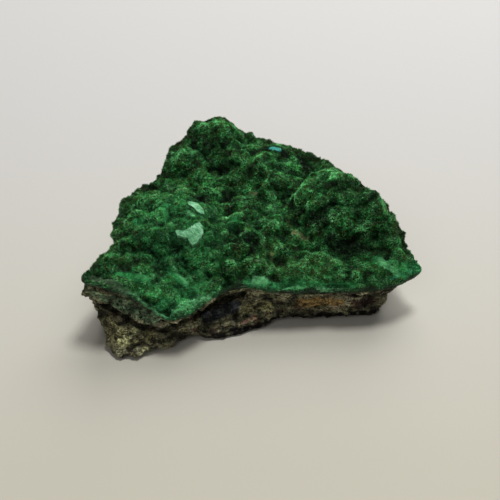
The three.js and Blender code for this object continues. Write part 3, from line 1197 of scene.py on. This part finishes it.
@dataclass
class Velvet:
    """Tufts of needles all over the crust."""

    sectors: int = 5
    spacing: float = 0.46
    needles: int = 8
    length: tuple[float, float] = (0.28, 0.58)
    thickness: float = 0.24
    root: float = 0.22
    spread: float = 52.0
    sunk: float = 0.15
    lean: float = 0.6
    lean_size: float = 3.0
    wobble: float = 0.2  # radians that a tuft may tilt by itself
    vary: tuple[float, float] = (0.7, 1.2)  # shares of a tuft's size and of a needle's tilt
    shortest: float = 0.4
    density: float = 1.2e7  # the most tufts to a square metre, before their spacing thins them
    thinning: tuple[float, float] = (0.05, 0.35)
    bare: float = 0.1  # pile below which a face counts as bare
    seed: int = 7
    margin: float = 0.35

    def build(
        self,
        crust: Crust,
        piece: Object,
        chips: Sequence["Chip"],
        finish: Material,
    ) -> list[Object]:
        """Covers the crust.

        Args:
            crust: The crust's sizes and stains.
            piece: The crust's piece.
            chips: Patches that stay clear of needles.
            finish: The needles' material.

        Returns:
            One piece for each sector.
        """
        self._divide(piece.data, crust.rim, chips)
        tuft = new_piece("tuft", self._tuft())
        tree = self._planting()
        made = []
        for sector in range(self.sectors):
            values = {
                "Tuft": tuft,
                "Sector": sector,
                "Spacing": self.spacing * MM,
                "Lean": self.lean,
                "Seed": self.seed + sector,
                "Material": finish,
            }
            mesh = tree.applied(piece, values)
            self._mark(mesh, crust)
            made.append(new_piece(f"velvet_{sector + 1}", mesh))
        bpy.data.objects.remove(tuft)
        for mark in (Mark.PILE, Mark.SECTOR):
            piece.data.attributes.remove(piece.data.attributes[mark.value])
        return made

    def _divide(self, mesh: Mesh, rim: Rim, chips: Sequence["Chip"]) -> None:
        """Splits the crust into sectors of equal area and clears the chips.

        Args:
            mesh: The crust's mesh.
            rim: The crust's outline, whose centre the sectors meet at.
            chips: Patches that stay clear of needles.
        """
        pile = gathered(mesh.attributes[Mark.PILE.value].data, "value")
        places = vertices_of(mesh)
        for chip in chips:
            pile *= 1.0 - chip.covers(places, self.margin)
        store(mesh, Mark.PILE, pile)
        corners = gathered(mesh.loops, "vertex_index", kind=np.int32)
        starts = gathered(mesh.polygons, "loop_start", kind=np.int32)
        covered = gathered(mesh.polygons, "area") * (pile[corners[starts]] > self.bare)
        directions, _ = rim.polar(gathered(mesh.polygons, "center", 3) / MM)
        order = np.argsort(directions, kind="stable")
        share = np.cumsum(covered[order]) / covered.sum()
        sector = np.empty(len(order), np.int32)
        sector[order] = np.minimum((share * self.sectors).astype(int), self.sectors - 1)
        store(mesh, Mark.SECTOR, sector, "INT")

    def _tuft(self) -> Mesh:
        """Makes one tuft: needles that spread from a root, each a closed three-sided spike.

        Returns:
            The tuft's mesh, which stands on the origin.
        """
        random = np.random.default_rng(self.seed)
        aslant = (0.3, 0.5, 0.8)
        corners, faces = [], []
        for index in range(self.needles):
            share = (index + 0.5) / self.needles
            turn = index * GOLDEN_ANGLE
            outward = np.array([math.cos(turn), math.sin(turn), 0.0])
            tilt = math.radians(self.spread) * math.sqrt(share) * random.uniform(*self.vary)
            way = outward * math.sin(tilt) + np.array([0.0, 0.0, math.cos(tilt)])
            root = outward * self.root * math.sqrt(share) - way * self.sunk
            length = random.uniform(*self.length) + self.sunk
            side = np.cross(way, aslant)
            side /= np.linalg.norm(side)
            across = np.cross(way, side)
            first = len(corners)
            for corner in range(3):
                angle = 2 * math.pi * corner / 3 + share
                ring = side * math.cos(angle) + across * math.sin(angle)
                corners.append((root + ring * self.thickness / 2) * MM)
            corners.append((root + way * length) * MM)
            tip = first + 3
            faces += [(first, first + 1, tip), (first + 1, first + 2, tip)]
            faces += [(first + 2, first, tip), (first + 2, first + 1, first)]
        mesh = bpy.data.meshes.new("tuft")
        mesh.from_pydata([tuple(c) for c in corners], [], faces)
        return mesh

    def _planting(self) -> GeometryTree:
        """Plants tufts on one sector of the crust, leaning together in streams.

        Returns:
            The tree.
        """
        inputs = {
            "Tuft": Object,
            "Sector": int,
            "Spacing": float,
            "Lean": float,
            "Seed": int,
            "Material": Material,
        }
        tree = GeometryTree("velvet_planting", inputs)
        here = tree.node(
            "FunctionNodeCompare",
            {"data_type": "INT", "operation": "EQUAL"},
            {"A": tree.attribute(Mark.SECTOR, "INT"), "B": tree.input("Sector")},
        )
        pile = tree.attribute(Mark.PILE)
        spread = {
            "Mesh": tree.input("Geometry"),
            "Selection": here,
            "Distance Min": tree.input("Spacing"),
            "Density Max": self.density,
            "Density Factor": pile.step(*self.thinning),
            "Seed": tree.input("Seed"),
        }
        points = tree.node(
            "GeometryNodeDistributePointsOnFaces", {"distribute_method": "POISSON"}, spread
        )
        normal = Wire(tree, points.socket.node.outputs["Normal"])
        centred = tree.vector("SUBTRACT", tree.swirl(tree.places(), self.lean_size), (0.5,) * 3)
        way = tree.vector("ADD", normal, tree.scaled(centred, tree.input("Lean") * 2.0))
        upright = tree.node("FunctionNodeAlignRotationToVector", {"axis": "Z"}, {"Vector": way})
        low, high = (-self.wobble, -self.wobble, 0.0), (self.wobble, self.wobble, math.tau)
        turns = {"Min": low, "Max": high, "Seed": 3}
        spin = tree.node("FunctionNodeRandomValue", {"data_type": "FLOAT_VECTOR"}, turns)
        twist = tree.node("FunctionNodeEulerToRotation", None, {"Euler": spin})
        turned = tree.node(
            "FunctionNodeRotateRotation",
            {"rotation_space": "LOCAL"},
            {"Rotation": upright, "Rotate By": twist},
        )
        sizes = {"Min": self.vary[0], "Max": self.vary[1], "Seed": 5}
        size = tree.node("FunctionNodeRandomValue", {"data_type": "FLOAT"}, sizes)
        planted = {
            "Points": points,
            "Instance": tree.node(
                "GeometryNodeObjectInfo", None, {"Object": tree.input("Tuft")}, "Geometry"
            ),
            "Rotation": turned,
            "Scale": size * (pile * (1 - self.shortest) + self.shortest),
        }
        tree.finish(tree.node("GeometryNodeInstanceOnPoints", None, planted))
        return tree

    def _mark(self, mesh: Mesh, crust: Crust) -> None:
        """Stores each needle's own shade, its tip and its stains, and lays out its map.

        Args:
            mesh: One sector's needles.
            crust: The crust, whose stains they take.
        """
        needles = vertices_of(mesh).reshape(-1, 4, 3)
        random = np.random.default_rng(self.seed)
        # tip: 0 at the root corners and 1 at the point; the needle finish uses it for painted shade
        # at the roots.
        tip = np.tile((0.0, 0.0, 0.0, 1.0), len(needles))
        store(mesh, Mark.TIP, tip)
        store(mesh, Mark.NEEDLE, np.repeat(random.random(len(needles)), 4))
        tufts = random.random(len(needles) // self.needles)
        store(mesh, Mark.TUFT, np.repeat(tufts, 4 * self.needles))
        roots = needles[:, :3].mean(1)
        stains = painted(roots, crust.stains)
        store(mesh, Mark.STAIN, np.repeat(stains, 4, axis=0), "FLOAT_COLOR")
        self._lay_out(mesh)

    def _lay_out(self, mesh: Mesh) -> None:
        """Lays the needles out flat as they are seen from above.

        Args:
            mesh: One sector's needles.
        """
        layer = mesh.uv_layers.new(name="OFBake")
        corners = gathered(mesh.loops, "vertex_index", kind=np.int32)
        flat = vertices_of(mesh)[:, :2]
        low, high = flat.min(0), flat.max(0)
        spread = (flat - low) / (high - low).max()
        border = 0.01
        layer.uv.foreach_set("vector", (border + (1 - 2 * border) * spread[corners]).ravel())


@dataclass(frozen=True)
class Chip:
    """A patch where the velvet has broken away and shows pale malachite."""

    name: str
    outline: tuple[tuple[float, float], ...]
    lift: float = 0.7
    thickness: float = 2.0
    flatness: float = 0.4
    roughness: float = 0.12
    grid: float = 0.6

    def covers(self, places: np.ndarray, margin: float) -> np.ndarray:
        """1 for the places that lie in the outline or within a margin of it, and 0 elsewhere."""
        near = distance_to_path(places, (*self.outline, self.outline[0])) < margin
        return (self._inside(places) | near).astype(float)

    def _inside(self, places: np.ndarray) -> np.ndarray:
        """Whether places lie in the outline, seen from above.

        Args:
            places: The places, one row each.

        Returns:
            True or false for each place.
        """
        x, y = places[:, 0], places[:, 1]
        inside = np.zeros(len(places), bool)
        for (ax, ay), (bx, by) in zip(self.outline, (*self.outline[1:], self.outline[0])):
            crosses = (ay > y) != (by > y)
            if ay != by:
                inside ^= crosses & (x < (bx - ax) * (y - ay) / (by - ay) + ax)
        return inside

    def build(self, ground: Ground, finish: Material) -> Object:
        """Makes the patch.

        Args:
            ground: Gives the crust's height at a place.
            finish: The patch's material.

        Returns:
            The finished piece.
        """
        border = self._border()
        low, high = np.min(border, 0), np.max(border, 0)
        xs = np.arange(low[0], high[0], self.grid)
        ys = np.arange(low[1], high[1], self.grid)
        lattice = np.stack(np.meshgrid(xs, ys), -1).reshape(-1, 2)
        clear = distance_to_path(lattice, (*border, border[0])) > 0.5 * self.grid
        lattice = lattice[self._inside(lattice) & clear]
        flat = [Vector(p) for p in (*border, *lattice)]
        count = len(border)
        edges = [(i, (i + 1) % count) for i in range(count)]
        verts, _, faces, *_ = delaunay_2d_cdt(flat, edges, [], 1, WELD)
        top = [(v.x, v.y, ground(v.x, v.y)) for v in verts]
        plane = self._plane(np.array(top))
        random = np.random.default_rng(count)
        rough = random.uniform(-self.roughness, self.roughness, len(top))
        flatness = self.flatness
        upper = [
            (x, y, (1 - flatness) * z + flatness * plane(x, y) + self.lift + r)
            for (x, y, z), r in zip(top, rough)
        ]
        under = [(x, y, z - self.thickness) for x, y, z in upper]
        size = len(verts)
        sides = [(a, b, b + size, a + size) for b, a in edges]
        closed = [tuple(f) for f in faces] + [tuple(i + size for i in f[::-1]) for f in faces]
        mesh = bpy.data.meshes.new(self.name)
        points = [tuple(c * MM for c in p) for p in upper + under]
        mesh.from_pydata(points, [], closed + sides)
        mesh.validate()
        mesh.materials.append(finish)
        return new_piece(self.name, mesh)

    def _border(self) -> np.ndarray:
        """Adds points to the outline and nudges them, so that it is ragged.

        Returns:
            The ragged outline, one row for each point.
        """
        random = np.random.default_rng(len(self.outline))
        points = []
        for start, end in zip(self.outline, (*self.outline[1:], self.outline[0])):
            a, b = np.array(start), np.array(end)
            steps = max(1, round(np.linalg.norm(b - a) / self.grid))
            for step in range(steps):
                nudge = random.uniform(-self.roughness, self.roughness, 2) * (step > 0)
                points.append(a + (b - a) * step / steps + nudge)
        return np.array(points)

    @staticmethod
    def _plane(places: np.ndarray) -> Ground:
        """Fits a plane to places.

        Args:
            places: The places, one row each.

        Returns:
            The plane's height at a place.
        """
        system = np.column_stack([places[:, :2], np.ones(len(places))])
        (a, b, c), *_ = np.linalg.lstsq(system, places[:, 2], rcond=None)
        return lambda x, y: a * x + b * y + c


@dataclass
class Specimen:
    """The whole specimen."""

    chips: tuple[Chip, ...] = (
        Chip(
            "chip_large",
            (
                (-24.3, -15), (-23.6, -16.7), (-20.4, -17), (-20.1, -18), (-19.0, -18.8),
                (-17.7, -17.7), (-16.6, -15.9), (-15.8, -13.9), (-15.9, -11.9), (-17.2, -10.4),
                (-19.7, -13.4), (-21.8, -15),
            ),
        ),
        Chip(
            "chip_small",
            (
                (-21.1, -1.4), (-19.5, -0.6), (-17.7, -1.9), (-16.2, -3.9), (-15.6, -6.3),
                (-16.8, -6.4), (-18.2, -5.2), (-19.3, -3.8), (-20.8, -2.6),
            ),
        ),
    )

    def build(self) -> None:
        """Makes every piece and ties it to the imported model."""
        rock = Rock().build(RockFinish().build())
        self._settle(rock, Slot.MATRIX)
        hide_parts("matrix_rock")
        crust = Crust(Rim())
        skin = crust.build(CrustFinish().build())
        velvet = Velvet().build(crust, skin, self.chips, NeedleFinish().build())
        self._settle(skin, Slot.MALACHITE)
        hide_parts("malachite_crust")
        for piece in velvet:
            self._settle(piece, Slot.MALACHITE)
        ground = self._ground(skin)
        finish = ChipFinish().build()
        for chip in self.chips:
            self._settle(chip.build(ground, finish), Slot.MALACHITE)

    @staticmethod
    def _ground(skin: Object) -> Ground:
        """Measures the crust's top.

        Args:
            skin: The crust's piece.

        Returns:
            The height of its top at a place.
        """
        tree = BVHTree.FromObject(skin, bpy.context.evaluated_depsgraph_get())
        above = 100.0

        def height(x: float, y: float) -> float:
            """The height at x, y."""
            hit, *_ = tree.ray_cast(Vector((x, y, above)) * MM, Vector((0, 0, -1)))
            return hit.z / MM

        return height

    @staticmethod
    def _settle(piece: Object, slot: Slot) -> None:
        """Ties a piece to the model's body, and reports it.

        Args:
            piece: The piece.
            slot: Its material's slot; not used.
        """
        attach(piece, "root")
        triangles = sum(len(face.vertices) - 2 for face in piece.data.polygons)
        LOG.info("%s: %d triangles", piece.name, triangles)


# --- The studio ---


@dataclass(frozen=True)
class Lamp:
    """A soft round lamp that points at the specimen."""

    name: str
    place: Place
    size: float
    power: float
    colour: Colour = (1.0, 0.99, 0.97)

    def hang(self) -> None:
        """Hangs the lamp."""
        light = bpy.data.lights.new(self.name, "AREA")
        light.shape = "DISK"
        light.size = self.size * MM
        light.energy = self.power
        light.color = self.colour
        lamp = bpy.data.objects.new(self.name, light)
        bpy.context.scene.collection.objects.link(lamp)
        lamp.location = Vector(self.place) * MM
        lamp.rotation_euler = (-lamp.location).to_track_quat("-Z", "Y").to_euler()


@dataclass
class Studio:
    """A pale table, soft light from above and behind, and the camera."""

    lamps: tuple[Lamp, ...] = (
        Lamp("key", (150.0, 250.0, 900.0), 260.0, 5.0),
        Lamp("back", (180.0, 640.0, 480.0), 800.0, 6.0),
        Lamp("front", (-260.0, -420.0, 560.0), 400.0, 0.45, (1.0, 0.98, 0.94)),
    )
    room_colour: Colour = (0.98, 0.97, 0.94)
    room_light: float = 0.12
    target: Place = (-1.3, -3.0, 12.0)
    elevation: float = 45.0
    distance: float = 420.0
    drop: float = 4.2
    lens: float = 93.7
    nearest: float = 10.0
    floor_half: float = 1500.0

    def build(self) -> None:
        """Sets the table, the light and the camera."""
        self._floor()
        self._world()
        for lamp in self.lamps:
            lamp.hang()
        self._camera()
        bpy.context.scene.view_settings.view_transform = "Standard"

    def _floor(self) -> None:
        """Lays the table top."""
        half = self.floor_half * MM
        mesh = bpy.data.meshes.new("floor")
        corners = [(-half, -half, 0), (half, -half, 0), (half, half, 0), (-half, half, 0)]
        mesh.from_pydata(corners, [], [(0, 1, 2, 3)])
        mesh.materials.append(FloorFinish().build())
        new_piece("floor", mesh)

    def _world(self) -> None:
        """Surrounds the table with dim even light."""
        world = bpy.data.worlds.new("room")
        world.use_nodes = True
        background = world.node_tree.nodes["Background"]
        background.inputs["Color"].default_value = (*self.room_colour, 1.0)
        background.inputs["Strength"].default_value = self.room_light
        bpy.context.scene.world = world

    def _camera(self) -> None:
        """Sets the camera in front of the specimen, looking down at it."""
        angle = math.radians(self.elevation)
        away = Vector((0.0, -math.cos(angle), math.sin(angle)))
        up = Vector((0.0, math.sin(angle), math.cos(angle)))
        camera = bpy.data.objects.new("camera", bpy.data.cameras.new("camera"))
        camera.data.lens = self.lens
        camera.data.clip_start = self.nearest * MM
        bpy.context.scene.collection.objects.link(camera)
        camera.location = (Vector(self.target) + away * self.distance - up * self.drop) * MM
        camera.rotation_euler = (-away).to_track_quat("-Z", "Y").to_euler()
        bpy.context.scene.camera = camera


def main() -> None:
    """Builds the specimen and the studio."""
    logging.basicConfig(level=logging.INFO, format="%(name)s %(message)s")
    Specimen().build()
    Studio().build()


if __name__ == "__main__":
    main()
